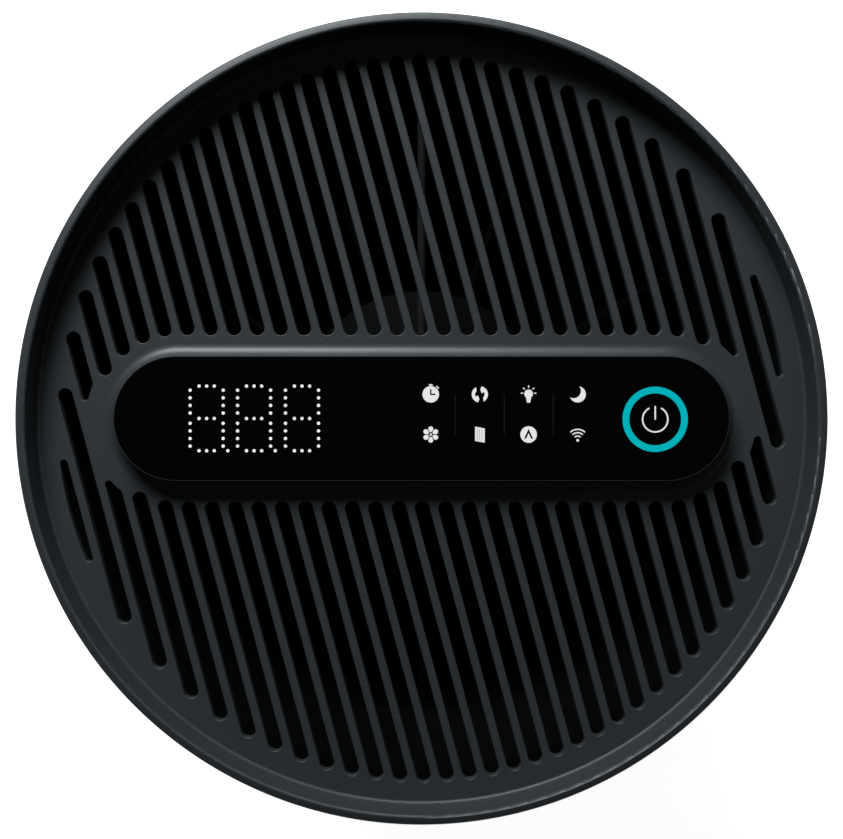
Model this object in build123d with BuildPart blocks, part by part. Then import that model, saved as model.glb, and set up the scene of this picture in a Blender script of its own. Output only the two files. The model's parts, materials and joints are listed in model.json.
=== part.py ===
from build123d import *
import math
import os

# Round tower air purifier, standing on the XY plane with its front towards -Y.
# Air enters all round through the lower shell, passes the filter, and leaves through the top grille.
# All sizes are in millimetres.

# Driving dimensions
body_r = 122.5  # outside of both shells
shell_wall = 2.5
total_height = 380.0
seam_gap = 0.8  # groove between the two shells
seam_z = 232.0

grille_top = 368.0  # floor of the dish in the top
grille_thickness = 3.2
grille_r = 117.35
wall_foot_r = 118.5  # inside of the rim's wall at the grille
foot_round = 1.1  # hollow rounding where the wall meets the grille
crest_inner_r = 118.6
crest_r = 119.5  # highest circle of the rim
rim_top_r = 121.6  # outside of the rim under its rounded crest
crest_drop = 0.8  # fall of the crest's shallow round to the rim's outside
slot_tilt = 15.0  # degrees from the Y axis
slot_pitch = 6.94
slot_width = 4.37
slot_ring_r = 109.85  # circle on which the outer slot ends are centred
slot_tip_r = 1.08  # rounding of the pointed slot ends
slot_edge_r = 0.35

panel_half = 74.4  # half the distance between the panel's two end centres
glass_r = 18.65
glass_thickness = 1.0
panel_height = 7.0  # bezel above the grille
glass_recess = 0.1  # glass below the bezel's top
glass_gap = 0.05  # between the glass and the bezel's lip
lip_width = 0.1
skirt_r = 22.85  # foot of the bezel's hollow skirt
skirt_edge = 0.15  # height of the skirt's outer edge
panel_screw_x = 60.0
panel_screw_y = 18.3
slot_clearance_r = 27.8  # slots end on this outline round the panel
slot_trim_r = 28.8  # outline that trims the slots grazing the panel's ends
print_thickness = 0.1  # of the printed signs on the glass

fan_r = 97.0  # inside of the fan housing
duct_wall = 2.0
deck_z = 233.0
deck_thickness = 3.0
hub_r = 42.0

filter_r = 98.0
filter_bore_r = 54.0
filter_bottom = 20.3
filter_top = 228.0

base_bottom = 3.0  # the feet hold the base ring this far off the floor
door_opening_r = 101.0  # hole in the base ring that the filter passes
cover_r = 100.5
lug_r = 105.0
lug_sweep = 14.0  # degrees
twist = 20.0  # degrees from locked to free

sensor_z = 290.0  # middle of the dust sensor and its door
door_height = 44.0
door_sweep = 19.0  # degrees of the shell that the door covers
door_axis_r = 120.0
barrel_r = 2.2

inner_r = body_r - shell_wall
rim_z = grille_top + 3.4  # seam under the top rim
bezel_top = grille_top + panel_height
glass_top = bezel_top - glass_recess
board_z = 364.0

os.makedirs("parts", exist_ok=True)


def keep(piece, name):
    """Labels a finished piece and writes its STEP file."""
    piece.part.label = name
    export_step(piece.part, f"parts/{name}.step")


def pill(end_r):
    """Face of a pill outline round the panel's two end centres."""
    with BuildSketch() as face:
        SlotCenterToCenter(2 * panel_half, 2 * end_r)
    return face.sketch


def ring_sector(inner, outer, start, sweep_angle):
    """Face of a ring between two radii, from one angle through a sweep."""
    with BuildSketch() as face:
        with BuildLine():
            far_arc = CenterArc((0, 0), outer, start, sweep_angle)
            near_arc = CenterArc((0, 0), inner, start, sweep_angle)
            Line(far_arc @ 0, near_arc @ 0)
            Line(far_arc @ 1, near_arc @ 1)
        make_face()
    return face.sketch


def turned(profile):
    """Solid turned about Z from a closed outline of (radius, height) points."""
    with BuildPart() as piece:
        with BuildSketch(Plane.XZ):
            with BuildLine():
                Polyline(*profile, close=True)
            make_face()
        revolve(axis=Axis.Z)
    return piece.part


def round_bar(radius, low, high, bore=0.0):
    """Solid cylinder or tube about Z between two heights."""
    with BuildPart() as piece:
        with BuildSketch(Plane.XY.offset(low)):
            Circle(radius)
            if bore:
                Circle(bore, mode=Mode.SUBTRACT)
        extrude(amount=high - low)
    return piece.part


# Base

with BuildPart() as base_ring:
    channel_low, channel_high = 9.4, 14.6
    add(turned([
        (door_opening_r, base_bottom), (116.5, base_bottom), (119.7, 8.0), (119.7, 26.0),
        (117.2, 26.0), (117.2, 8.8), (115.4, 6.0), (108.5, 6.0), (108.5, 18.0), (door_opening_r, 18.0),
    ]))
    # ribs between the two walls
    with BuildSketch(Plane.XY.offset(6.0)):
        with PolarLocations(112.7, 12):
            Rectangle(9.2, 2.0)
    extrude(amount=9.0)
    # screw posts up to the tabs of the lower shell
    with BuildSketch(Plane.XY.offset(5.0)):
        with PolarLocations(112.5, 4, start_angle=15):
            Circle(3.9)
    extrude(amount=21.0)
    # bayonet channels for the cover's lugs, each with a way in from below
    with BuildSketch(Plane.XY.offset(channel_low)):
        with PolarLocations(0, 4):
            add(ring_sector(99.0, lug_r + 0.4, -lug_sweep / 2 - twist - 0.6, lug_sweep + twist + 1.2))
    extrude(amount=channel_high - channel_low, mode=Mode.SUBTRACT)
    with BuildSketch(Plane.XY.offset(base_bottom)):
        with PolarLocations(0, 4):
            add(ring_sector(99.0, lug_r + 0.4, -lug_sweep / 2 - twist - 0.6, lug_sweep + 1.2))
    extrude(amount=channel_low - base_bottom, mode=Mode.SUBTRACT)
    # screw holes with sunk heads, and pockets for the feet
    with BuildSketch(Plane.XY.offset(base_bottom)):
        with PolarLocations(112.5, 4, start_angle=15):
            Circle(3.0)
    extrude(amount=2.2, mode=Mode.SUBTRACT)
    with BuildSketch(Plane.XY.offset(base_bottom)):
        with PolarLocations(112.5, 4, start_angle=15):
            Circle(1.7)
    extrude(amount=24.0, mode=Mode.SUBTRACT)
    with BuildSketch(Plane.XY.offset(base_bottom)):
        with PolarLocations(108.8, 4, start_angle=45):
            Circle(7.1)
    extrude(amount=1.5, mode=Mode.SUBTRACT)
keep(base_ring, "base_ring")

with BuildPart() as rubber_feet:
    with BuildSketch():
        with PolarLocations(108.8, 4, start_angle=45):
            Circle(7.0)
    extrude(amount=base_bottom + 1.5)
    fillet(rubber_feet.edges().group_by(Axis.Z)[0], 0.8)
keep(rubber_feet, "rubber_feet")

with BuildPart() as base_screws:
    with BuildSketch(Plane.XY.offset(3.2)):
        with PolarLocations(112.5, 4, start_angle=15):
            Circle(2.8)
    extrude(amount=2.0)
    with BuildSketch(Plane.XY.offset(5.2)):
        with PolarLocations(112.5, 4, start_angle=15):
            Circle(1.5)
    extrude(amount=24.0)
    with BuildSketch(Plane.XY.offset(3.2)):
        with PolarLocations(112.5, 4, start_angle=15):
            Rectangle(3.2, 0.7)
            Rectangle(0.7, 3.2)
    extrude(amount=1.1, mode=Mode.SUBTRACT)
keep(base_screws, "base_screws")

with BuildPart() as base_cover:
    grip_r, bar_width, grip_top = 36.0, 18.0, 16.0
    cover_bottom = 4.0
    add(turned([
        (0, cover_bottom), (cover_r - 0.8, cover_bottom), (cover_r, cover_bottom + 0.8), (cover_r, 17.0),
        (97.5, 17.0), (97.5, 7.0), (grip_r + 2.0, 7.0), (grip_r + 2.0, 18.0), (0, 18.0),
    ]))
    # two finger pockets, one on each side of the grip bar
    with BuildSketch(Plane.XY.offset(cover_bottom)):
        Circle(grip_r)
        Rectangle(2 * grip_r + 2, bar_width, mode=Mode.SUBTRACT)
    extrude(amount=grip_top - cover_bottom, mode=Mode.SUBTRACT)
    fillet(base_cover.edges().group_by(Axis.Z)[0].filter_by(
        lambda edge: math.hypot(edge.center().X, edge.center().Y) < 60), 0.9)
    # ribs that carry the filter
    with BuildSketch(Plane.XY.offset(6.9)):
        with PolarLocations(67.6, 8, start_angle=22.5):
            Rectangle(60.4, 2.4)
    extrude(amount=13.1)
    # bayonet lugs
    with BuildSketch(Plane.XY.offset(9.8)):
        with PolarLocations(0, 4):
            add(ring_sector(cover_r - 1.0, lug_r, -lug_sweep / 2, lug_sweep))
    extrude(amount=4.4)
    # raised pointer that meets the lock mark on the base ring
    with BuildSketch(Plane.XY.offset(cover_bottom - 0.4)):
        with Locations((0, -91)):
            Triangle(a=9, b=9, c=9, rotation=180)
    extrude(amount=0.6)
keep(base_cover, "base_cover")

# Lower shell with the intake slots

intake_columns = 90
row_heights = [61.0, 125.0, 189.0]
row_slot_length = 54.0
inlet_z = 40.0

with BuildPart() as column_cutter:
    for height in row_heights:
        with BuildSketch(Plane(origin=(0, -inner_r + 4, height), x_dir=(1, 0, 0), z_dir=(0, -1, 0))):
            SlotOverall(row_slot_length, 4.2, rotation=90 + slot_tilt)
        extrude(amount=shell_wall + 6)

with BuildPart() as inlet_column_cutter:
    for height in row_heights[1:]:
        with BuildSketch(Plane(origin=(0, -inner_r + 4, height), x_dir=(1, 0, 0), z_dir=(0, -1, 0))):
            SlotOverall(row_slot_length, 4.2, rotation=90 + slot_tilt)
        extrude(amount=shell_wall + 6)

with BuildPart() as intake_shell:
    shell_bottom = 8.0
    shell_top = seam_z - seam_gap / 2
    add(turned([
        (inner_r, shell_bottom), (body_r - 0.8, shell_bottom), (body_r, shell_bottom + 0.8),
        (body_r, shell_top - 0.5), (body_r - 0.5, shell_top), (inner_r, shell_top),
    ]))
    # tabs over the base ring's posts
    with BuildSketch(Plane.XY.offset(26.2)):
        with PolarLocations(0, 4, start_angle=15):
            add(ring_sector(109.2, inner_r + 0.5, -2.6, 5.2))
    extrude(amount=5.8)
    with BuildSketch(Plane.XY.offset(26.2)):
        with PolarLocations(112.5, 4, start_angle=15):
            Circle(1.55)
    extrude(amount=5.8, mode=Mode.SUBTRACT)
    # slots in three slanting rows, left out round the power inlet in the lowest row
    turns = [i * 360 / intake_columns for i in range(intake_columns)]
    blank = [turn for turn in turns if abs(turn - 180) < 13]
    with Locations(*[Location((0, 0, 0), (0, 0, turn)) for turn in turns if turn not in blank]):
        add(column_cutter.part, mode=Mode.SUBTRACT)
    with Locations(*[Location((0, 0, 0), (0, 0, turn)) for turn in blank]):
        add(inlet_column_cutter.part, mode=Mode.SUBTRACT)
    # hole for the power inlet at the back
    with BuildSketch(Plane.XZ.offset(-inner_r - 4)):
        with Locations((0, inlet_z)):
            Circle(4.8)
    extrude(amount=8, mode=Mode.SUBTRACT)
keep(intake_shell, "intake_shell")

# Upper shell

door_half = door_sweep / 2
hinge_angle = -door_half - 1.2  # the sensor door is on the +X side and hinges at its front edge
hinge_x = door_axis_r * math.cos(math.radians(hinge_angle))
hinge_y = door_axis_r * math.sin(math.radians(hinge_angle))
door_low = sensor_z - door_height / 2
knuckle_half = 16.0

with BuildPart() as upper_shell:
    low = seam_z + seam_gap / 2
    add(turned([
        (112.0, 230.0), (117.4, 230.0), (117.4, 224.0), (119.7, 224.0), (119.7, low),
        (body_r - 0.5, low), (body_r, low + 0.5), (body_r, rim_z - 0.6), (inner_r, rim_z - 0.6),
        (inner_r, deck_z), (112.0, deck_z),
    ]))
    # opening for the sensor door, wide enough for the hinge barrel to turn in
    with BuildSketch(Plane.XY.offset(door_low - 0.4)):
        add(ring_sector(inner_r - 3, body_r + 3, hinge_angle - 2.0, door_sweep + 3.6))
    extrude(amount=door_height + 0.8, mode=Mode.SUBTRACT)
    # two hinge ears for the pin
    lower_ear = (door_low - 0.4, sensor_z - knuckle_half - 0.3)
    upper_ear = (sensor_z + knuckle_half + 0.3, door_low + door_height + 0.4)
    for ear_low, ear_high in (lower_ear, upper_ear):
        with BuildSketch(Plane.XY.offset(ear_low)):
            with Locations((hinge_x, hinge_y)):
                Circle(barrel_r)
            add(ring_sector(door_axis_r - 1.8, door_axis_r + 0.5, hinge_angle - 3.2, 3.2))
        extrude(amount=ear_high - ear_low)
    with BuildSketch(Plane.XY.offset(door_low - 3)):
        with Locations((hinge_x, hinge_y)):
            Circle(0.95)
    extrude(amount=door_height + 6, mode=Mode.SUBTRACT)
    # holes for the deck screws
    with BuildSketch(Plane.XY.offset(229)):
        with PolarLocations(114.6, 4, start_angle=45):
            Circle(1.35)
    extrude(amount=5, mode=Mode.SUBTRACT)
keep(upper_shell, "upper_shell")

with BuildPart() as sensor_door:
    with BuildSketch(Plane.XY.offset(door_low)):
        add(ring_sector(inner_r, body_r, hinge_angle + 0.4, door_sweep + 0.8))
        with Locations((hinge_x, hinge_y)):
            Circle(2.8, mode=Mode.SUBTRACT)
    extrude(amount=door_height)
    # hinge knuckle and the web that joins it to the panel
    with BuildSketch(Plane.XY.offset(sensor_z - knuckle_half)):
        with Locations((hinge_x, hinge_y)):
            Circle(barrel_r)
        add(ring_sector(door_axis_r - 0.2, door_axis_r + 1.8, hinge_angle, 2.2))
    extrude(amount=2 * knuckle_half)
    with BuildSketch(Plane.XY.offset(sensor_z - knuckle_half)):
        with Locations((hinge_x, hinge_y)):
            Circle(0.98)
    extrude(amount=2 * knuckle_half, mode=Mode.SUBTRACT)
    # slits that let air reach the sensor
    with BuildSketch(Plane.YZ.offset(inner_r - 6)):
        with GridLocations(0, 4.4, 1, 6):
            with Locations((3.0, sensor_z)):
                SlotOverall(20, 1.8)
    extrude(amount=12, mode=Mode.SUBTRACT)
    # scoop for a fingernail at the free edge
    with BuildSketch(Plane.XY.offset(sensor_z - 7)):
        with PolarLocations(body_r, 1, start_angle=door_half):
            Circle(1.5)
    extrude(amount=14, mode=Mode.SUBTRACT)
keep(sensor_door, "sensor_door")

with BuildPart() as sensor_door_pin:
    with BuildSketch(Plane.XY.offset(door_low - 2.6)):
        with Locations((hinge_x, hinge_y)):
            Circle(0.9)
    extrude(amount=door_height + 5.2)
keep(sensor_door_pin, "sensor_door_pin")

# Top rim and grille

with BuildPart() as top_rim:
    ledge_z = grille_top - grille_thickness
    inner_round = crest_r - crest_inner_r
    foot_low = (wall_foot_r - foot_round, grille_top)
    foot_high = (wall_foot_r, grille_top + foot_round)
    crest_inside = (crest_inner_r, total_height - inner_round)
    crest_top = (crest_r, total_height)
    with BuildSketch(Plane.XZ):
        with BuildLine():
            Polyline(foot_low, (foot_low[0], ledge_z), (113.5, ledge_z), (113.5, 361.5), (119.8, 361.5),
                     (119.8, rim_z), (body_r - 0.4, rim_z), (body_r, rim_z + 0.4),
                     (rim_top_r, total_height - crest_drop))
            EllipticalCenterArc((crest_r, total_height - crest_drop), rim_top_r - crest_r, crest_drop,
                                start_angle=0, arc_size=90)
            RadiusArc(crest_top, crest_inside, -inner_round)
            Line(crest_inside, foot_high)
            RadiusArc(foot_high, foot_low, foot_round)
        make_face()
    revolve(axis=Axis.Z)
keep(top_rim, "top_rim")

tilt = math.radians(slot_tilt)
along = (-math.sin(tilt), math.cos(tilt))  # direction of every slot
across = (math.cos(tilt), math.sin(tilt))  # direction in which they repeat


def on_slot(line, distance):
    """Point on the centreline of one slot, counted from the foot nearest the grille's centre."""
    shift = line * slot_pitch
    return (shift * across[0] + distance * along[0], shift * across[1] + distance * along[1])


def outer_end(line):
    """Distance along a slot to the circle of the outer slot ends."""
    return math.sqrt(slot_ring_r ** 2 - (line * slot_pitch) ** 2)


def inner_end(line, side):
    """Distance along a slot to the outline round the panel, on its rear (+1) or front (-1) side."""
    shift = line * slot_pitch
    straight = (side * slot_clearance_r - shift * across[1]) / along[1]
    if abs(shift * across[0] + straight * along[0]) <= panel_half:
        return straight
    end_x = math.copysign(panel_half, line)
    beside = shift - end_x * across[0]
    return end_x * along[0] + side * math.sqrt(slot_clearance_r ** 2 - beside ** 2)


def slot_between(start, end):
    """Rounded slot between two end centres, drawn in the open sketch."""
    middle = ((start[0] + end[0]) / 2, (start[1] + end[1]) / 2)
    with Locations(middle):
        SlotCenterToCenter(math.dist(start, end), slot_width, rotation=90 + slot_tilt)


with BuildSketch() as plain_slots:
    for line in range(-13, 14):
        for side in (1, -1):
            slot_between(on_slot(line, inner_end(line, side)), on_slot(line, side * outer_end(line)))
    for line in (-15, 15):
        slot_between(on_slot(line, -outer_end(line)), on_slot(line, outer_end(line)))

with BuildSketch() as trimmed_slots:
    # the pair that grazes the panel's round ends is cut back to pointed tips
    for line in (-14, 14):
        slot_between(on_slot(line, -outer_end(line)), on_slot(line, outer_end(line)))
    with Locations((-panel_half, 0), (panel_half, 0)):
        Circle(slot_trim_r, mode=Mode.SUBTRACT)
    cut_tips = trimmed_slots.vertices().filter_by(
        lambda corner: abs(math.dist((abs(corner.X), corner.Y), (panel_half, 0)) - slot_trim_r) < 0.01)
    fillet(cut_tips, slot_tip_r)

with BuildSketch() as edge_slots:
    # the last pair is a sliver between a slot's side and the outer circle
    for line in (-16, 16):
        with Locations(on_slot(line, 0)):
            Rectangle(80, slot_width, rotation=90 + slot_tilt)
    Circle(slot_ring_r + slot_width / 2, mode=Mode.INTERSECT)
    fillet(edge_slots.vertices(), slot_tip_r)

with BuildPart() as outlet_grille:
    with BuildSketch(Plane.XY.offset(ledge_z)):
        Circle(grille_r)
    extrude(amount=grille_thickness)
    with BuildSketch(Plane.XY.offset(ledge_z)):
        add(plain_slots.sketch)
        add(trimmed_slots.sketch)
        add(edge_slots.sketch)
    extrude(amount=grille_thickness, mode=Mode.SUBTRACT)
    fillet(outlet_grille.edges().group_by(Axis.Z)[-1].filter_by(
        lambda edge: edge.bounding_box().size.X < 100), slot_edge_r)
    with BuildSketch(Plane.XY.offset(ledge_z)):
        add(pill(17.1))
        with GridLocations(2 * panel_screw_x, 2 * panel_screw_y, 2, 2):
            Circle(0.85)
    extrude(amount=grille_thickness, mode=Mode.SUBTRACT)
keep(outlet_grille, "outlet_grille")

# Control panel

# half section of the bezel: a hollow skirt that rises from the grille to a thin lip round the glass
with BuildSketch(Plane.YZ) as bezel_section:
    pocket_r = glass_r + glass_gap
    lip_r = pocket_r + lip_width
    pocket_z = glass_top - glass_thickness
    skirt_round = skirt_r - lip_r
    round_z = grille_top + skirt_edge + skirt_round
    with BuildLine():
        Polyline((skirt_r, grille_top + skirt_edge), (skirt_r, grille_top), (17.0, grille_top),
                 (17.0, pocket_z), (pocket_r, pocket_z), (pocket_r, bezel_top), (lip_r, bezel_top),
                 (lip_r, round_z))
        CenterArc((skirt_r, round_z), skirt_round, 180, 90)
    make_face()

with BuildPart() as panel_bezel:
    for side in (1, -1):
        # one straight side and the half turn that follows it
        turn = Rotation(0, 0, 0 if side == 1 else 180)
        straight = extrude(bezel_section.sketch, amount=panel_half, both=True, mode=Mode.PRIVATE)
        half_turn = revolve(bezel_section.sketch, axis=Axis.Z, revolution_arc=180, mode=Mode.PRIVATE)
        add(turn * straight)
        add(turn * Pos(-panel_half, 0, 0) * half_turn)
    with BuildSketch(Plane.XY.offset(grille_top)):
        with GridLocations(2 * panel_screw_x, 2 * panel_screw_y, 2, 2):
            Circle(0.75)
    extrude(amount=2.2, mode=Mode.SUBTRACT)
keep(panel_bezel, "panel_bezel")

with BuildPart() as panel_glass:
    with BuildSketch(Plane.XY.offset(glass_top - glass_thickness)):
        add(pill(glass_r))
    extrude(amount=glass_thickness)
keep(panel_glass, "panel_glass")

with BuildPart() as panel_tray:
    with BuildSketch(Plane.XY.offset(354)):
        add(pill(16.9))
    extrude(amount=grille_top - 354)
    with BuildSketch(Plane.XY.offset(ledge_z - 2.4)):
        add(pill(24.0))
    extrude(amount=2.4)
    with BuildSketch(Plane.XY.offset(355.5)):
        add(pill(15.8))
    extrude(amount=grille_top - 355.5, mode=Mode.SUBTRACT)
    # posts under the board
    with BuildSketch(Plane.XY.offset(355.4)):
        with GridLocations(68, 22, 3, 2):
            Circle(2.4)
    extrude(amount=board_z - 355.4)
    with BuildSketch(Plane.XY.offset(ledge_z - 2.4)):
        with GridLocations(2 * panel_screw_x, 2 * panel_screw_y, 2, 2):
            Circle(0.85)
    extrude(amount=2.4, mode=Mode.SUBTRACT)
    # cable outlet at the back
    with BuildSketch(Plane.XZ.offset(-14)):
        with Locations((0, 358)):
            Circle(1.8)
    extrude(amount=-5, mode=Mode.SUBTRACT)
keep(panel_tray, "panel_tray")

with BuildPart() as panel_screws:
    with BuildSketch(Plane.XY.offset(ledge_z - 4.2)):
        with GridLocations(2 * panel_screw_x, 2 * panel_screw_y, 2, 2):
            Circle(1.3)
    extrude(amount=1.8)
    with BuildSketch(Plane.XY.offset(ledge_z - 2.4)):
        with GridLocations(2 * panel_screw_x, 2 * panel_screw_y, 2, 2):
            Circle(0.7)
    extrude(amount=2.4 + grille_thickness + 1.9)
keep(panel_screws, "panel_screws")

with BuildPart() as control_board:
    with BuildSketch(Plane.XY.offset(board_z)):
        add(pill(15.4))
    extrude(amount=1.6)
keep(control_board, "control_board")

# Places on the glass, from the panel's centre: digits on the left, two rows of keys, and the power key.
digit_centres = [-65.0, -50.65, -36.15]
digit_columns = [-5.0, -2.3, 0.0, 2.3, 5.0]
digit_side_rows = [8.55, 6.25, 3.95, 1.65, -1.45, -3.75, -6.05, -8.35]
digit_bars = [9.8, 0.0, -9.75]
dot_r = 0.48
key_columns = [2.8, 17.65, 32.4, 47.25]
key_rows = [7.3, -4.85]
power_centre = (70.7, -0.25)
module_top = glass_top - glass_thickness - 0.2

with BuildPart() as display_module:
    with BuildSketch(Plane.XY.offset(board_z + 1.6)):
        with Locations((-50.6, 0)):
            RectangleRounded(50, 24, 1.5)
    extrude(amount=module_top - board_z - 1.6)
keep(display_module, "display_module")

with BuildPart() as key_light_guide:
    with BuildSketch(Plane.XY.offset(board_z + 1.6)):
        with Locations((25.0, 1.2)):
            RectangleRounded(54, 22, 2)
        with Locations(*[(x, y) for x in key_columns for y in key_rows]):
            Circle(3.4, mode=Mode.SUBTRACT)
    extrude(amount=module_top - board_z - 1.6)
keep(key_light_guide, "key_light_guide")

with BuildPart() as touch_springs:
    # one spring under each key, as a coil's outer shape
    with BuildSketch(Plane.XY.offset(board_z + 1.6)):
        with Locations(*[(x, y) for x in key_columns for y in key_rows], power_centre):
            Circle(3.0)
            Circle(2.2, mode=Mode.SUBTRACT)
    extrude(amount=module_top - board_z - 1.6)
keep(touch_springs, "touch_springs")

with BuildPart() as ring_light_guide:
    with BuildSketch(Plane.XY.offset(board_z + 1.6)):
        with Locations(power_centre):
            Circle(10.4)
            Circle(7.3, mode=Mode.SUBTRACT)
    extrude(amount=module_top - board_z - 1.6)
keep(ring_light_guide, "ring_light_guide")

with BuildPart() as display_dots:
    with BuildSketch(Plane.XY.offset(glass_top)):
        for number, centre in enumerate(digit_centres):
            sides = [(centre + x, y) for x in digit_columns[::4] for y in digit_side_rows]
            bars = [(centre + x, y) for x in digit_columns[1:-1] for y in digit_bars]
            with Locations(*sides, *bars):
                Circle(dot_r)
            if number < 2:  # decimal point
                with Locations((centre + 6.4, digit_bars[-1])):
                    Circle(dot_r)
    extrude(amount=print_thickness)
keep(display_dots, "display_dots")

with BuildPart() as power_ring:
    with BuildSketch(Plane.XY.offset(glass_top)):
        with Locations(power_centre):
            Circle(9.87)
            Circle(7.85, mode=Mode.SUBTRACT)
    extrude(amount=print_thickness)
keep(power_ring, "power_ring")

with BuildPart() as power_symbol:
    with BuildSketch(Plane.XY.offset(glass_top)):
        with Locations(power_centre):
            add(ring_sector(3.6, 4.05, 118, 304))
        with Locations((power_centre[0], power_centre[1] + 1.9)):
            SlotOverall(4.2, 0.45, rotation=90)
    extrude(amount=print_thickness)
keep(power_symbol, "power_symbol")

with BuildPart() as panel_dividers:
    with BuildSketch(Plane.XY.offset(glass_top)):
        with Locations(*[((key_columns[i] + key_columns[i + 1]) / 2, 1.2) for i in range(3)]):
            Rectangle(0.3, 12)
    extrude(amount=print_thickness)
keep(panel_dividers, "panel_dividers")


def key_place(column, row):
    """Plane on the glass at one key, with X to the right and Y to the rear."""
    return Plane(origin=(key_columns[column], key_rows[row], glass_top))


with BuildPart() as key_symbols:
    sign_r = 2.5
    # timer: a clock face with a crown and a cut-out hand
    with BuildSketch(key_place(0, 0)):
        Circle(sign_r)
        with Locations((0, sign_r + 0.25)):
            Rectangle(1.1, 0.7)
        with Locations((2.05, 2.05)):
            Rectangle(0.9, 0.5, rotation=-45)
        with Locations((0, 0.75)):
            Rectangle(0.36, 1.7, mode=Mode.SUBTRACT)
        with Locations((0.65, 0)):
            Rectangle(1.5, 0.36, mode=Mode.SUBTRACT)
    extrude(amount=print_thickness)
    # circulation: two bent arrows
    with BuildSketch(key_place(1, 0)):
        with PolarLocations(0, 2):
            add(ring_sector(1.45, 2.5, 98, 158))
            add(ring_sector(0.6, 1.6, 130, 38))
    extrude(amount=print_thickness)
    # light: a bulb with rays
    with BuildSketch(key_place(2, 0)):
        with Locations((0, -0.2)):
            Circle(1.35)
        with Locations((0, -1.9)):
            Rectangle(1.3, 1.7)
        with Locations((0, -0.2)):
            with PolarLocations(2.05, 5, start_angle=0, angular_range=180, endpoint=True):
                Rectangle(0.75, 0.32)
    extrude(amount=print_thickness)
    # night: a crescent moon
    with BuildSketch(key_place(3, 0)):
        Circle(2.35)
        with Locations((-1.15, 1.0)):
            Circle(2.15, mode=Mode.SUBTRACT)
    extrude(amount=print_thickness)
    # speed: six petals round a hub
    with BuildSketch(key_place(0, 1)):
        with PolarLocations(1.75, 6, start_angle=30):
            Circle(0.78)
        with PolarLocations(1.05, 6, start_angle=30):
            Rectangle(0.9, 0.62)
        Circle(0.5)
        Circle(0.25, mode=Mode.SUBTRACT)
    extrude(amount=print_thickness)
    # filter: a slab with pleat lines
    with BuildSketch(key_place(1, 1)):
        Polygon((-1.6, 2.45), (1.5, 2.0), (1.6, -2.45), (-1.5, -2.0), align=None)
        with GridLocations(0.62, 0, 4, 1):
            Rectangle(0.12, 3.4, mode=Mode.SUBTRACT)
    extrude(amount=print_thickness)
    # automatic: a disc with a cut-out arrow head
    with BuildSketch(key_place(2, 1)):
        Circle(sign_r)
        Polygon((0, 1.45), (1.25, -1.2), (0.55, -1.2), (0, 0.15), (-0.55, -1.2), (-1.25, -1.2),
                align=None, mode=Mode.SUBTRACT)
    extrude(amount=print_thickness)
    # wireless: a dot under three arcs
    with BuildSketch(key_place(3, 1)):
        with Locations((0, -1.7)):
            Circle(0.42)
            for arc_r in (1.25, 2.35, 3.45):
                add(ring_sector(arc_r - 0.24, arc_r + 0.24, 50, 80))
    extrude(amount=print_thickness)
keep(key_symbols, "key_symbols")

# Fan section

with BuildPart() as fan_deck:
    add(round_bar(117.2, deck_z, deck_z + deck_thickness, 62.0))
    with BuildSketch(Plane.XY.offset(deck_z)):
        with PolarLocations(114.6, 4, start_angle=45):
            Circle(1.7)
        with Locations((0, 109.6)):  # cable from the power inlet
            Circle(2.4)
    extrude(amount=deck_thickness, mode=Mode.SUBTRACT)
keep(fan_deck, "fan_deck")

with BuildPart() as deck_screws:
    with BuildSketch(Plane.XY.offset(deck_z + deck_thickness)):
        with PolarLocations(114.6, 4, start_angle=45):
            Circle(2.7)
    extrude(amount=2.0)
    with BuildSketch(Plane.XY.offset(229.2)):
        with PolarLocations(114.6, 4, start_angle=45):
            Circle(1.3)
    extrude(amount=deck_z + deck_thickness - 229.2)
keep(deck_screws, "deck_screws")

with BuildPart() as inlet_ring:
    # bell mouth that leads the air from the filter into the impeller's eye
    with BuildSketch(Plane.XZ):
        with BuildLine():
            Line((70, 236), (61.8, 236))
            Line((61.8, 236), (61.8, 233.2))
            RadiusArc((61.8, 233.2), (49.5, 246), 13)
            Line((49.5, 246), (49.5, 254))
            Line((49.5, 254), (51.0, 254))
            Line((51.0, 254), (51.0, 247))
            RadiusArc((51.0, 247), (60, 238), -9.2)
            Line((60, 238), (70, 238))
            Line((70, 238), (70, 236))
        make_face()
    revolve(axis=Axis.Z)
keep(inlet_ring, "inlet_ring")

with BuildPart() as fan_housing:
    outer_r = fan_r + duct_wall
    deck_top = deck_z + deck_thickness
    add(turned([
        (fan_r, deck_top), (outer_r + 6, deck_top), (outer_r + 6, deck_top + 2), (outer_r, deck_top + 2),
        (outer_r, 330), (113.0, 356), (113.0, 361.2), (111.0, 361.2), (111.0, 356.6), (fan_r, 331),
    ]))
    # studs for the main board at the back and the dust sensor on the right
    with BuildSketch(Plane.XZ.offset(-102.9)):
        with Locations((-22, 256), (22, 256), (-22, 320), (22, 320)):
            Circle(3)
    extrude(amount=8)
    with BuildSketch(Plane.YZ.offset(93.5)):
        with Locations((-10, sensor_z - 14), (10, sensor_z + 14)):
            Circle(3)
    extrude(amount=7.4)
    with BuildSketch(Plane.XY.offset(deck_top)):
        Circle(fan_r)
    extrude(amount=330 - deck_top, mode=Mode.SUBTRACT)
    # holes for the display cable and the motor cable
    with BuildSketch(Plane.XZ.offset(-85)):
        with Locations((0, 358), (0, 322)):
            Circle(2.4)
    extrude(amount=-40, mode=Mode.SUBTRACT)
keep(fan_housing, "fan_housing")

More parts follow.
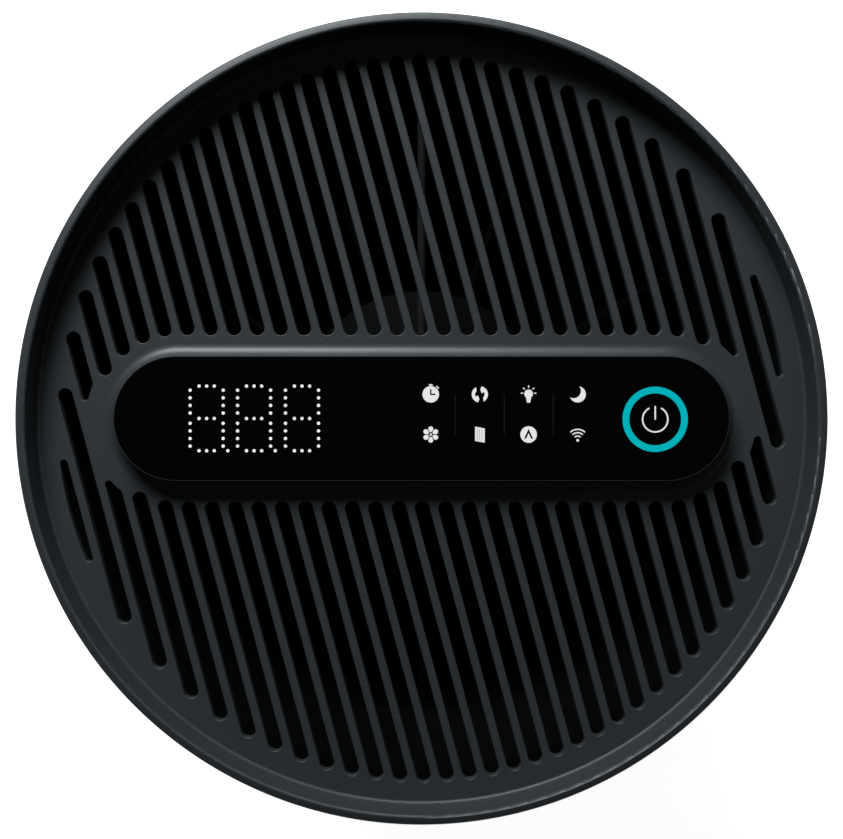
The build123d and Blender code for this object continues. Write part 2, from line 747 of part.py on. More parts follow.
with BuildPart() as diffuser:
    # motor cup in the middle, nine straight vanes and an outer ring
    add(turned([
        (12, 300), (hub_r, 300), (hub_r, 338), (hub_r - 2, 338), (hub_r - 2, 303), (12, 303),
    ]))
    add(round_bar(fan_r - 0.2, 300, 330, fan_r - 2.2))
    with BuildSketch(Plane.XY.offset(300)):
        with PolarLocations((hub_r + fan_r) / 2 - 0.6, 9, start_angle=110):
            Rectangle(fan_r - hub_r - 0.4, 2.0)
    extrude(amount=30)
    with BuildSketch(Plane.XY.offset(300)):
        with PolarLocations(28, 3, start_angle=30):
            Circle(1.7)
    extrude(amount=3, mode=Mode.SUBTRACT)
    with BuildSketch(Plane.XZ.offset(-34)):
        with Locations((0, 322)):
            Circle(1.9)
    extrude(amount=-66, mode=Mode.SUBTRACT)
keep(diffuser, "diffuser")

with BuildPart() as hub_cap:
    # rounded cap that closes the motor cup
    with BuildSketch(Plane.XZ):
        with BuildLine():
            Polyline((0, 346), (26, 346), (hub_r, 338), (hub_r - 2.4, 338), (25.6, 344), (0, 344),
                     close=True)
        make_face()
    revolve(axis=Axis.Z)
keep(hub_cap, "hub_cap")

with BuildPart() as motor_isolators:
    with BuildSketch(Plane.XY.offset(303)):
        with PolarLocations(28, 3, start_angle=30):
            Circle(4.5)
            Circle(1.7, mode=Mode.SUBTRACT)
    extrude(amount=3)
keep(motor_isolators, "motor_isolators")

with BuildPart() as motor_screws:
    with BuildSketch(Plane.XY.offset(298)):
        with PolarLocations(28, 3, start_angle=30):
            Circle(2.8)
    extrude(amount=2.0)
    with BuildSketch(Plane.XY.offset(300)):
        with PolarLocations(28, 3, start_angle=30):
            Circle(1.5)
    extrude(amount=9.5)
keep(motor_screws, "motor_screws")

motor_low, motor_high = 306.0, 335.0
shaft_r = 3.0

with BuildPart() as motor_can:
    add(turned([
        (8.0, motor_low), (36.0, motor_low), (36.0, motor_high - 3), (34.0, motor_high - 3),
        (34.0, motor_low + 3), (11.0, motor_low + 3), (11.0, motor_low + 6), (8.0, motor_low + 6),
    ]))
    with BuildSketch(Plane.XY.offset(motor_low)):
        with PolarLocations(28, 3, start_angle=30):
            Circle(1.55)
    extrude(amount=4, mode=Mode.SUBTRACT)
keep(motor_can, "motor_can")

with BuildPart() as motor_end_cap:
    add(turned([
        (4.0, motor_high), (36.0, motor_high), (36.0, motor_high - 3), (11.0, motor_high - 3),
        (11.0, motor_high - 6), (8.0, motor_high - 6), (8.0, motor_high - 1), (4.0, motor_high - 1),
    ]))
keep(motor_end_cap, "motor_end_cap")

with BuildPart() as motor_bearings:
    add(round_bar(8.0, motor_low + 1, motor_low + 6, shaft_r + 0.05))
    add(round_bar(8.0, motor_high - 6, motor_high - 1, shaft_r + 0.05))
keep(motor_bearings, "motor_bearings")

with BuildPart() as stator_core:
    with BuildSketch(Plane.XY.offset(315)):
        Circle(33.95)
        Circle(29.5, mode=Mode.SUBTRACT)
        with PolarLocations(25.4, 9):
            Rectangle(9.4, 3.0)
        with PolarLocations(0, 9):
            add(ring_sector(19.4, 21.4, -16, 32))
    extrude(amount=10)
keep(stator_core, "stator_core")

with BuildPart() as stator_coils:
    with BuildSketch(Plane.XY.offset(313.4)):
        with PolarLocations(25.2, 9):
            RectangleRounded(6.0, 7.4, 1.2)
    extrude(amount=13.2)
    with BuildSketch(Plane.XY.offset(315)):
        with PolarLocations(25.2, 9):
            Rectangle(9.4, 3.0)
    extrude(amount=10, mode=Mode.SUBTRACT)
keep(stator_coils, "stator_coils")

with BuildPart() as motor_shaft:
    add(round_bar(shaft_r, 264, motor_high - 1.5))
    chamfer(motor_shaft.edges().group_by(Axis.Z)[0], 0.5)
keep(motor_shaft, "motor_shaft")

with BuildPart() as rotor_magnet:
    add(round_bar(18.6, 313, 326, shaft_r))
keep(rotor_magnet, "rotor_magnet")

eye_r, tip_r = 54.0, 84.0
blade_curve_r = 62.0

# backward-curved blade, a strip of a circle's rim
with BuildSketch() as one_blade:
    with Locations((26, -40)):
        Circle(blade_curve_r)
        Circle(blade_curve_r - 2, mode=Mode.SUBTRACT)
    add(ring_sector(eye_r + 2, tip_r - 0.5, -15, 60), mode=Mode.INTERSECT)

with BuildPart() as impeller:
    add(turned([
        (shaft_r, 270), (9, 270), (11, 286), (24, 292), (tip_r, 292), (tip_r, 294.2),
        (22, 294.2), (9, 290), (9, 296.5), (shaft_r, 296.5),
    ]))
    # front shroud
    add(turned([(eye_r, 256.2), (tip_r, 256.2), (tip_r, 258.2), (eye_r, 258.2)]))
    with BuildSketch(Plane.XY.offset(258)):
        with PolarLocations(0, 11):
            add(one_blade.sketch)
    extrude(amount=35)
keep(impeller, "impeller")

with BuildPart() as impeller_nut:
    with BuildSketch(Plane.XY.offset(265.5)):
        RegularPolygon(5.6, 6)
        Circle(shaft_r, mode=Mode.SUBTRACT)
    extrude(amount=4.5)
keep(impeller_nut, "impeller_nut")

# Filter cartridge

with BuildPart() as filter_bottom_cap:
    add(round_bar(filter_r, filter_bottom, filter_bottom + 2))
    add(turned([
        (filter_r - 1.5, filter_bottom), (filter_r, filter_bottom), (filter_r, filter_bottom + 8),
        (filter_r - 1.5, filter_bottom + 8),
    ]))
keep(filter_bottom_cap, "filter_bottom_cap")

with BuildPart() as filter_top_cap:
    add(round_bar(filter_r, filter_top - 2, filter_top, filter_bore_r))
    add(turned([
        (filter_r - 1.5, filter_top - 8), (filter_r, filter_top - 8), (filter_r, filter_top),
        (filter_r - 1.5, filter_top),
    ]))
keep(filter_top_cap, "filter_top_cap")

with BuildPart() as filter_seal:
    add(round_bar(84, filter_top, deck_z - 0.2, 72))
keep(filter_seal, "filter_seal")

with BuildPart() as filter_media:
    pleats, crest, valley = 72, 95.5, 90.0
    with BuildSketch(Plane.XY.offset(filter_bottom + 2)):
        fold = 180 / pleats
        with BuildLine():
            Polyline(*[
                ((crest if i % 2 == 0 else valley) * math.cos(math.radians(i * fold)),
                 (crest if i % 2 == 0 else valley) * math.sin(math.radians(i * fold)))
                for i in range(2 * pleats)
            ], close=True)
        make_face()
        Circle(57.5, mode=Mode.SUBTRACT)
    extrude(amount=filter_top - filter_bottom - 4)
keep(filter_media, "filter_media")

with BuildPart() as carbon_core:
    add(round_bar(57.4, filter_bottom + 2, filter_top - 2, filter_bore_r))
keep(carbon_core, "carbon_core")

with BuildPart() as prefilter_net:
    add(round_bar(filter_r - 0.4, filter_bottom + 8.2, filter_top - 8.2, filter_r - 1.2))
keep(prefilter_net, "prefilter_net")

with BuildPart() as pull_tab:
    # webbing loop folded flat under the cartridge
    with BuildSketch(Plane.XY.offset(filter_bottom - 1.6)):
        SlotOverall(60, 20)
        SlotOverall(44, 6, mode=Mode.SUBTRACT)
    extrude(amount=1.4)
    with BuildSketch(Plane.XY.offset(filter_bottom - 0.2)):
        with Locations((-26, 0), (26, 0)):
            Rectangle(5, 8)
    extrude(amount=0.2)
keep(pull_tab, "pull_tab")

# Electrics

socket_floor = 111.8  # distance from the middle to the bottom of the socket
socket_mouth = 122.2

with BuildPart() as power_inlet:
    # barrel socket: body, flange behind the shell, and a nose through it with a blind cavity
    with BuildSketch(Plane.XZ.offset(-106)):
        with Locations((0, inlet_z)):
            Rectangle(12, 11)
    extrude(amount=-12)
    with BuildSketch(Plane.XZ.offset(-116.6)):
        with Locations((0, inlet_z)):
            Rectangle(17, 16)
    extrude(amount=-2.4)
    with BuildSketch(Plane.XZ.offset(-118)):
        with Locations((0, inlet_z)):
            Circle(4.6)
    extrude(amount=-(socket_mouth - 118))
    with BuildSketch(Plane.XZ.offset(-socket_floor)):
        with Locations((0, inlet_z)):
            Circle(2.9)
    extrude(amount=-(socket_mouth - socket_floor), mode=Mode.SUBTRACT)
keep(power_inlet, "power_inlet")

with BuildPart() as inlet_pin:
    with BuildSketch(Plane.XZ.offset(-socket_floor)):
        with Locations((0, inlet_z)):
            Circle(1.05)
    extrude(amount=-(socket_mouth - socket_floor - 1.0))
    chamfer(inlet_pin.edges().group_by(Axis.Y)[-1], 0.4)
keep(inlet_pin, "inlet_pin")

cable_r = 1.6
with BuildPart() as inlet_cable:
    with BuildSketch(Plane.XY.offset(inlet_z + 5.5)):
        with Locations((0, 109.6)):
            Circle(cable_r)
    extrude(amount=252 - inlet_z - 5.5)
keep(inlet_cable, "inlet_cable")

with BuildPart() as main_board:
    with BuildSketch(Plane.XZ.offset(-103)):
        with Locations((0, 288)):
            Rectangle(56, 80)
    extrude(amount=-1.6)
keep(main_board, "main_board")

with BuildPart() as board_parts:
    # connectors, capacitors, a choke and a driver chip, standing on the board
    with BuildSketch(Plane.XZ.offset(-104.6)):
        with Locations((0, 256.2), (0, 323.5)):
            Rectangle(12, 8.4)
        with Locations((-17, 272), (-17, 286)):
            Circle(5)
        with Locations((14, 280)):
            RectangleRounded(16, 18, 2)
        with Locations((-4, 302)):
            Rectangle(14, 10)
    extrude(amount=-8)
keep(board_parts, "board_parts")

with BuildPart() as display_cable:
    start, over_edge, beside, plug = (0, 15.9, 358), (0, 115.8, 358), (0, 115.8, 340), (0, 109.2, 329.0)
    with BuildLine() as display_cable_path:
        FilletPolyline(start, over_edge, beside, plug, radius=6)
    with BuildSketch(Plane(origin=start, z_dir=(0, 1, 0))):
        Circle(1.4)
    sweep(path=display_cable_path.wires()[0])
keep(display_cable, "display_cable")

with BuildPart() as motor_cable:
    with BuildSketch(Plane.XZ.offset(-36.1)):
        with Locations((0, 322)):
            Circle(1.4)
    extrude(amount=-(102.9 - 36.1))
keep(motor_cable, "motor_cable")

with BuildPart() as dust_sensor:
    with BuildSketch(Plane.YZ.offset(101)):
        with Locations((0, sensor_z)):
            RectangleRounded(34, 40, 1.5)
    extrude(amount=11.5)
    # air port and lens recess facing the door
    with BuildSketch(Plane.YZ.offset(106.5)):
        with Locations((0, sensor_z + 8)):
            Circle(4)
        with Locations((0, sensor_z - 9)):
            Rectangle(14, 6)
    extrude(amount=6, mode=Mode.SUBTRACT)
keep(dust_sensor, "dust_sensor")

with BuildPart() as sensor_cable:
    # runs round the fan housing to the main board
    sensor_path = Edge.make_circle(108, Plane.XY.offset(302), start_angle=9.3, end_angle=74.8)
    with BuildSketch(Plane(origin=sensor_path @ 0, z_dir=sensor_path % 0)):
        Circle(1.2)
    sweep(path=sensor_path)
keep(sensor_cable, "sensor_cable")
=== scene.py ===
import bpy
import json
import math
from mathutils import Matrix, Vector


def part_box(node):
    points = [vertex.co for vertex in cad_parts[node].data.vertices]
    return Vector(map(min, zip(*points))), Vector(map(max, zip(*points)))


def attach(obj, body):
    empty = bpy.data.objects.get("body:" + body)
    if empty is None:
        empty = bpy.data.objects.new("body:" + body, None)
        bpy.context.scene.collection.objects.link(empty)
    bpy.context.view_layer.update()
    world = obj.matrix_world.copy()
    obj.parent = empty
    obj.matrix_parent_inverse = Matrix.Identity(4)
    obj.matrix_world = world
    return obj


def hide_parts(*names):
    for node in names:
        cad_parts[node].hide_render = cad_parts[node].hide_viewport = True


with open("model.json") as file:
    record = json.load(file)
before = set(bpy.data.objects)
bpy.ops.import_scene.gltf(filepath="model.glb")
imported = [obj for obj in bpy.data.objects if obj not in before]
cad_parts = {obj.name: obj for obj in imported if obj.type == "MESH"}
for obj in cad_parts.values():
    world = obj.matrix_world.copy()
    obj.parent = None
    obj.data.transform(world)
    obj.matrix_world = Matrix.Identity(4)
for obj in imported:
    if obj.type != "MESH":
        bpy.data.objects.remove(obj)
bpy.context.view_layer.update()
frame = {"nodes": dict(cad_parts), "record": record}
nodes = frame["nodes"]
bodies = frame["record"]["behaviour"]["bodies"]
bodyOf = {member: body for body, members in bodies.items() for member in members}
print("frame loaded:", len(nodes), "nodes")

mm = 0.001
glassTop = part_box("panel_glass")[1].z


# small helpers that every material uses

def newMaterial(name):
    material = bpy.data.materials.new(name)
    material.use_nodes = True
    tree = material.node_tree
    return material, tree, tree.nodes["Principled BSDF"]


def place(tree, kind, **values):
    # node settings and socket values go in together
    node = tree.nodes.new(kind)
    for key, value in values.items():
        if hasattr(node, key):
            setattr(node, key, value)
        else:
            node.inputs[key.replace("_", " ")].default_value = value
    return node


def objectPoint(tree, stretch=(1, 1, 1)):
    coordinate = place(tree, "ShaderNodeTexCoord")
    mapping = place(tree, "ShaderNodeMapping")
    mapping.inputs["Scale"].default_value = stretch
    tree.links.new(coordinate.outputs["Object"], mapping.inputs["Vector"])
    return mapping.outputs["Vector"]


def noiseField(tree, point, scale, detail=2.0, roughness=0.5):
    noise = place(tree, "ShaderNodeTexNoise", Scale=scale, Detail=detail, Roughness=roughness)
    tree.links.new(point, noise.inputs["Vector"])
    return noise.outputs["Fac"]


def spread(tree, value, low, high, fromLow=0.3, fromHigh=0.7):
    # most of a noise field lies between 0.3 and 0.7
    ranger = place(tree, "ShaderNodeMapRange")
    ranger.inputs["From Min"].default_value = fromLow
    ranger.inputs["From Max"].default_value = fromHigh
    ranger.inputs["To Min"].default_value = low
    ranger.inputs["To Max"].default_value = high
    tree.links.new(value, ranger.inputs["Value"])
    return ranger.outputs["Result"]


def paint(tree, shader, value, dark, light, socket="Base Color"):
    blend = tree.nodes.new("ShaderNodeMix")
    blend.data_type = "RGBA"
    blend.inputs[6].default_value = (*dark, 1)  # sockets 6 and 7 are the two colours
    blend.inputs[7].default_value = (*light, 1)
    tree.links.new(value, blend.inputs[0])
    tree.links.new(blend.outputs[2], shader.inputs[socket])


def roughen(tree, shader, value, low, high, **fromRange):
    tree.links.new(spread(tree, value, low, high, **fromRange), shader.inputs["Roughness"])


def bumped(tree, shader, height, depth, strength):
    bump = place(tree, "ShaderNodeBump", Strength=strength, Distance=depth)
    tree.links.new(height, bump.inputs["Height"])
    tree.links.new(bump.outputs["Normal"], shader.inputs["Normal"])


def scaled(colour, factor):
    return [channel * factor for channel in colour]


# moulded plastics: a slow drift of colour and a fine moulded grain

def mouldedPlastic(name, look):
    material, tree, shader = newMaterial(name)
    point = objectPoint(tree)
    flow = noiseField(tree, point, look["flowScale"], 3)
    grain = noiseField(tree, point, look["grainScale"], 4, 0.6)
    dark = scaled(look["colour"], 1 - look["colourDrift"])
    light = scaled(look["colour"], 1 + look["colourDrift"])
    paint(tree, shader, spread(tree, flow, 0, 1), dark, light)
    rough, drift = look["roughness"], look["roughDrift"]
    roughen(tree, shader, grain, rough - drift, rough + drift)
    shader.inputs["Specular IOR Level"].default_value = look["shine"]
    bumped(tree, shader, grain, look["grainDepth"], look["grainStrength"])
    return material


plastics = {
    "charcoalGrille": {"colour": (0.034, 0.041, 0.045), "roughness": 0.5, "roughDrift": 0.05, "shine": 0.4,
                       "flowScale": 14, "colourDrift": 0.05, "grainScale": 2600, "grainDepth": 0.00004,
                       "grainStrength": 0.35},
    "charcoalShell": {"colour": (0.032, 0.039, 0.044), "roughness": 0.55, "roughDrift": 0.06, "shine": 0.4,
                      "flowScale": 9, "colourDrift": 0.05, "grainScale": 2200, "grainDepth": 0.00005,
                      "grainStrength": 0.45},
    "charcoalRim": {"colour": (0.034, 0.041, 0.046), "roughness": 0.48, "roughDrift": 0.04, "shine": 0.5,
                    "flowScale": 12, "colourDrift": 0.04, "grainScale": 3000, "grainDepth": 0.00003,
                    "grainStrength": 0.25},
    "charcoalBezel": {"colour": (0.034, 0.041, 0.046), "roughness": 0.42, "roughDrift": 0.04, "shine": 0.58,
                      "flowScale": 12, "colourDrift": 0.04, "grainScale": 3000, "grainDepth": 0.00003,
                      "grainStrength": 0.25},
    # the duct finish is darker than black plastic: painted shade, so the fan and duct parts read as the deep
    # shade inside the grille slots
    "ductBlackPaintedShade": {"colour": (0.0018, 0.0019, 0.002), "roughness": 0.7, "roughDrift": 0.06, "shine": 0.08,
                  "flowScale": 20, "colourDrift": 0.1, "grainScale": 1800, "grainDepth": 0.00005,
                  "grainStrength": 0.4},
    "capGrey": {"colour": (0.19, 0.2, 0.21), "roughness": 0.5, "roughDrift": 0.05, "shine": 0.45,
                "flowScale": 15, "colourDrift": 0.05, "grainScale": 1600, "grainDepth": 0.00005,
                "grainStrength": 0.4},
    "blockBlack": {"colour": (0.02, 0.02, 0.021), "roughness": 0.42, "roughDrift": 0.05, "shine": 0.5,
                   "flowScale": 60, "colourDrift": 0.1, "grainScale": 2500, "grainDepth": 0.00003,
                   "grainStrength": 0.3},
}
finishes = {name: mouldedPlastic(name, look) for name, look in plastics.items()}
print("moulded plastics ready:", len(finishes))


# the glass, and the signs that glow through it

def blackGlass(name, look):
    material, tree, shader = newMaterial(name)
    haze = noiseField(tree, objectPoint(tree), look["hazeScale"], 4)
    roughen(tree, shader, haze, look["clearRoughness"], look["hazyRoughness"])
    paint(tree, shader, haze, look["colour"], look["hazyColour"])
    shader.inputs["IOR"].default_value = look["ior"]
    return material


glass = {"colour": (0.0008, 0.0009, 0.0010), "hazyColour": (0.0012, 0.0013, 0.0016), "hazeScale": 35,
         "clearRoughness": 0.05, "hazyRoughness": 0.09, "ior": 1.48}
finishes["blackGlass"] = blackGlass("blackGlass", glass)


def litPrint(name, look):
    material, tree, shader = newMaterial(name)
    mottle = spread(tree, noiseField(tree, objectPoint(tree), look["mottleScale"], 2), 0, 1)
    dim = scaled(look["colour"], 1 - look["mottle"])
    paint(tree, shader, mottle, dim, look["colour"], "Emission Color")
    shader.inputs["Emission Strength"].default_value = look["glow"]
    shader.inputs["Base Color"].default_value = (*scaled(look["colour"], printSkin["paleness"]), 1)
    shader.inputs["Roughness"].default_value = printSkin["roughness"]
    shader.inputs["Specular IOR Level"].default_value = printSkin["shine"]
    return material


printSkin = {"paleness": 0.05, "roughness": 0.4, "shine": 0.05}  # what a sign shows of itself unlit
prints = {
    "litWhite": {"colour": (0.86, 0.87, 0.88), "mottle": 0.05, "mottleScale": 900, "glow": 0.9},
    "litDots": {"colour": (1.0, 1.0, 1.0), "mottle": 0.03, "mottleScale": 900, "glow": 0.95},
    "litTeal": {"colour": (0.0, 0.43, 0.48), "mottle": 0.04, "mottleScale": 700, "glow": 0.98},
    "faintPrint": {"colour": (0.0095, 0.0095, 0.0105), "mottle": 0.1, "mottleScale": 400, "glow": 0.9},
}
finishes.update({name: litPrint(name, look) for name, look in prints.items()})
print("glass and lit prints ready:", 1 + len(prints))


# rubber, metals and boards

def softRubber(name, look):
    material, tree, shader = newMaterial(name)
    bloom = noiseField(tree, objectPoint(tree), look["bloomScale"], 5, 0.65)
    paint(tree, shader, spread(tree, bloom, 0, 1), look["colour"], scaled(look["colour"], look["bloom"]))
    roughen(tree, shader, bloom, rubberSkin["rubbedRoughness"], rubberSkin["dullRoughness"])
    shader.inputs["Specular IOR Level"].default_value = rubberSkin["shine"]
    bumped(tree, shader, bloom, rubberSkin["depth"], rubberSkin["strength"])
    return material


rubberSkin = {"rubbedRoughness": 0.7, "dullRoughness": 0.85, "shine": 0.3, "depth": 0.00006, "strength": 0.4}
rubbers = {
    "softRubber": {"colour": (0.011, 0.011, 0.012), "bloom": 1.8, "bloomScale": 500},
    "cableSheath": {"colour": (0.009, 0.009, 0.010), "bloom": 1.8, "bloomScale": 900},
}
finishes.update({name: softRubber(name, look) for name, look in rubbers.items()})


def workedMetal(name, look):
    # the stretch draws the noise out into tool lines
    material, tree, shader = newMaterial(name)
    lines = noiseField(tree, objectPoint(tree, look["stretch"]), look["lineScale"], 3, 0.6)
    dark = scaled(look["colour"], toolLines["darkening"])
    paint(tree, shader, spread(tree, lines, 0, 1), dark, look["colour"])
    rough, drift = look["roughness"], toolLines["roughDrift"]
    roughen(tree, shader, lines, rough - drift, rough + drift)
    shader.inputs["Metallic"].default_value = 1.0
    bumped(tree, shader, lines, toolLines["depth"], toolLines["strength"])
    return material


toolLines = {"darkening": 0.75, "roughDrift": 0.08, "depth": 0.00002, "strength": 0.4}
metals = {
    "zincSteel": {"colour": (0.56, 0.56, 0.55), "stretch": (1, 1, 1), "lineScale": 900, "roughness": 0.34},
    "turnedSteel": {"colour": (0.5, 0.5, 0.52), "stretch": (0.1, 0.1, 12), "lineScale": 400,
                    "roughness": 0.26},
    "coatedMagnet": {"colour": (0.1, 0.1, 0.11), "stretch": (1, 1, 1), "lineScale": 600, "roughness": 0.5},
}
finishes.update({name: workedMetal(name, look) for name, look in metals.items()})


def woundWire(name, look):
    material, tree, shader = newMaterial(name)
    turns = place(tree, "ShaderNodeTexWave", Scale=look["turnsPerMetre"], Distortion=look["wander"],
                  bands_direction="Z")
    tree.links.new(objectPoint(tree), turns.inputs["Vector"])
    wave = turns.outputs["Fac"]
    paint(tree, shader, wave, look["shade"], look["colour"])
    shader.inputs["Metallic"].default_value = 1.0
    roughen(tree, shader, wave, look["gapRoughness"], look["wireRoughness"], fromLow=0, fromHigh=1)
    bumped(tree, shader, wave, look["depth"], look["strength"])
    return material


copper = {"turnsPerMetre": 900, "wander": 0.4, "colour": (0.72, 0.3, 0.12), "shade": (0.3, 0.1, 0.04),
          "gapRoughness": 0.45, "wireRoughness": 0.28, "depth": 0.0002, "strength": 0.7}
finishes["copperWire"] = woundWire("copperWire", copper)


def circuitBoard(name, look):
    material, tree, shader = newMaterial(name)
    point = objectPoint(tree)
    tracks = place(tree, "ShaderNodeTexBrick", Scale=look["trackScale"], offset=0.5)
    tracks.inputs["Mortar Size"].default_value = look["trackWidth"]
    tracks.inputs["Color1"].default_value = (*look["mask"], 1)
    tracks.inputs["Color2"].default_value = (*look["maskOverCopper"], 1)
    tracks.inputs["Mortar"].default_value = (*look["track"], 1)
    tree.links.new(point, tracks.inputs["Vector"])
    tree.links.new(tracks.outputs["Color"], shader.inputs["Base Color"])
    gloss = noiseField(tree, point, look["glossScale"])
    roughen(tree, shader, gloss, look["glossyRoughness"], look["dullRoughness"])
    bumped(tree, shader, tracks.outputs["Fac"], look["depth"], look["strength"])
    return material


board = {"trackScale": 160, "trackWidth": 0.04, "mask": (0.008, 0.09, 0.035),
         "maskOverCopper": (0.014, 0.14, 0.05), "track": (0.03, 0.2, 0.07), "glossScale": 300,
         "glossyRoughness": 0.28, "dullRoughness": 0.42, "depth": 0.00004, "strength": 0.5}
finishes["circuitBoard"] = circuitBoard("circuitBoard", board)
print("rubber, metals and boards ready")


# filter fabrics

def wovenNet(name, look):
    # threads round the axis and along it, from two crossed wave fields
    material, tree, shader = newMaterial(name)
    coordinate = place(tree, "ShaderNodeTexCoord")
    split = place(tree, "ShaderNodeSeparateXYZ")
    tree.links.new(coordinate.outputs["Object"], split.inputs["Vector"])
    angle = place(tree, "ShaderNodeMath", operation="ARCTAN2")
    tree.links.new(split.outputs["Y"], angle.inputs[0])
    tree.links.new(split.outputs["X"], angle.inputs[1])
    threads = []
    for source, count in ((angle.outputs[0], look["threadsPerRadian"]),
                          (split.outputs["Z"], look["threadsPerMetre"])):
        times = place(tree, "ShaderNodeMath", operation="MULTIPLY")
        times.inputs[1].default_value = count * math.tau
        tree.links.new(source, times.inputs[0])
        wave = place(tree, "ShaderNodeMath", operation="SINE")
        tree.links.new(times.outputs[0], wave.inputs[0])
        threads.append(wave.outputs[0])
    weave = place(tree, "ShaderNodeMath", operation="MAXIMUM")
    tree.links.new(threads[0], weave.inputs[0])
    tree.links.new(threads[1], weave.inputs[1])
    height = spread(tree, weave.outputs[0], 0, 1, fromLow=-0.2, fromHigh=1.0)
    # the low places between the threads take the darker gap colour: painted shade between the threads
    paint(tree, shader, height, look["gap"], look["thread"])
    shader.inputs["Roughness"].default_value = look["roughness"]
    shader.inputs["Sheen Weight"].default_value = look["sheen"]
    bumped(tree, shader, height, look["depth"], look["strength"])
    return material


nets = {
    "filterNet": {"threadsPerRadian": 90, "threadsPerMetre": 900, "gap": (0.004, 0.004, 0.004),
                  "thread": (0.05, 0.052, 0.055), "roughness": 0.8, "sheen": 0.1,
                  "depth": 0.0003, "strength": 0.9},
    "webbing": {"threadsPerRadian": 60, "threadsPerMetre": 1200, "gap": (0.0, 0.05, 0.06),
                "thread": (0.0, 0.2, 0.23), "roughness": 0.8, "sheen": 0.3,
                "depth": 0.0002, "strength": 0.9},
}
finishes.update({name: wovenNet(name, look) for name, look in nets.items()})


def fibreMat(name, look):
    material, tree, shader = newMaterial(name)
    fibres = noiseField(tree, objectPoint(tree, look["stretch"]), look["fibreScale"], 8, 0.7)
    paint(tree, shader, spread(tree, fibres, 0, 1), look["shade"], look["colour"])
    shader.inputs["Roughness"].default_value = look["roughness"]
    shader.inputs["Sheen Weight"].default_value = look["sheen"]
    bumped(tree, shader, fibres, look["depth"], look["strength"])
    return material


mats = {
    "pleatPaper": {"stretch": (1, 1, 0.4), "fibreScale": 1500, "shade": (0.6, 0.6, 0.57),
                   "colour": (0.85, 0.85, 0.82), "roughness": 0.9, "sheen": 0.1,
                   "depth": 0.0001, "strength": 0.8},
    "carbonGrain": {"stretch": (1, 1, 1), "fibreScale": 700, "shade": (0.004, 0.004, 0.004),
                    "colour": (0.03, 0.03, 0.03), "roughness": 0.9, "sheen": 0.0,
                    "depth": 0.0006, "strength": 0.8},
}
finishes.update({name: fibreMat(name, look) for name, look in mats.items()})
print("materials ready:", len(finishes))


# every part gets its finish

partFinish = {
    "charcoalGrille": ["outlet_grille"],
    "charcoalShell": ["intake_shell", "upper_shell", "sensor_door", "base_ring", "base_cover"],
    "charcoalRim": ["top_rim"],
    "charcoalBezel": ["panel_bezel"],
    "ductBlackPaintedShade": ["panel_tray", "fan_deck", "inlet_ring", "fan_housing", "diffuser", "hub_cap", "impeller"],
    "capGrey": ["filter_bottom_cap", "filter_top_cap", "dust_sensor", "key_light_guide",
                "ring_light_guide"],
    "blockBlack": ["display_module", "power_inlet", "board_parts"],
    "blackGlass": ["panel_glass"],
    "litDots": ["display_dots"],
    "litWhite": ["key_symbols", "power_symbol"],
    "litTeal": ["power_ring"],
    "faintPrint": ["panel_dividers"],
    "softRubber": ["rubber_feet", "motor_isolators", "filter_seal"],
    "cableSheath": ["inlet_cable", "display_cable", "motor_cable", "sensor_cable"],
    "zincSteel": ["base_screws", "panel_screws", "deck_screws", "motor_screws", "motor_can",
                  "motor_end_cap", "stator_core", "impeller_nut", "touch_springs"],
    "turnedSteel": ["sensor_door_pin", "motor_bearings", "motor_shaft", "inlet_pin"],
    "coatedMagnet": ["rotor_magnet"],
    "copperWire": ["stator_coils"],
    "circuitBoard": ["control_board", "main_board"],
    "pleatPaper": ["filter_media"],
    "carbonGrain": ["carbon_core"],
    "filterNet": ["prefilter_net"],
    "webbing": ["pull_tab"],
}
for finish, members in partFinish.items():
    for member in members:
        for slot in nodes[member].material_slots:
            slot.material = finishes[finish]
print("finishes on", sum(len(members) for members in partFinish.values()), "parts")


# signs on the glass, drawn as thin filled outlines

signs = {
    "thickness": 0.1 * mm,
    "columns": (2.8 * mm, 17.65 * mm, 32.4 * mm, 47.25 * mm),
    "rows": (7.3 * mm, -4.85 * mm),
    "power": (70.7 * mm, -0.25 * mm),
}


def turned(points, degrees, centreX=0, centreY=0):
    c, s = math.cos(math.radians(degrees)), math.sin(math.radians(degrees))
    return [(centreX + x * c - y * s, centreY + x * s + y * c) for x, y in points]


def arc(centreX, centreY, radius, start, end, steps=24):
    angles = [math.radians(start + (end - start) * i / steps) for i in range(steps + 1)]
    return [(centreX + radius * math.cos(a), centreY + radius * math.sin(a)) for a in angles]


def circle(centreX, centreY, radius, steps=36):
    return arc(centreX, centreY, radius, 0, 360, steps)[:-1]


def ringPiece(centreX, centreY, inner, outer, start, end, steps=24):
    there = arc(centreX, centreY, outer, start, end, steps)
    return there + arc(centreX, centreY, inner, end, start, steps)


def bar(centreX, centreY, width, height, turn=0.0):
    x, y = width / 2, height / 2
    return turned([(-x, -y), (x, -y), (x, y), (-x, y)], turn, centreX, centreY)


def capsule(centreX, centreY, width, length, turn=90.0):
    # bar with round ends, its length along the turn
    half = (length - width) / 2
    outline = arc(half, 0, width / 2, -90, 90, 10) + arc(-half, 0, width / 2, 90, 270, 10)
    return turned(outline, turn, centreX, centreY)


def drawSign(name, outlines, centre):
    # outlines are in millimetres round the sign's centre, and an outline inside another is a hole
    curve = bpy.data.curves.new(name, "CURVE")
    curve.dimensions = "2D"
    curve.fill_mode = "BOTH"
    curve.extrude = signs["thickness"] / 2
    for outline in outlines:
        spline = curve.splines.new("POLY")
        spline.points.add(len(outline) - 1)
        for point, (x, y) in zip(spline.points, outline):
            point.co = (x * mm, y * mm, 0, 1)
        spline.use_cyclic_u = True
    curve.materials.append(finishes["litWhite"])
    sign = bpy.data.objects.new(name, curve)
    sign.location = (centre[0], centre[1], glassTop + signs["thickness"] / 2)
    bpy.context.scene.collection.objects.link(sign)
    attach(sign, bodyOf["key_symbols"])
    return sign


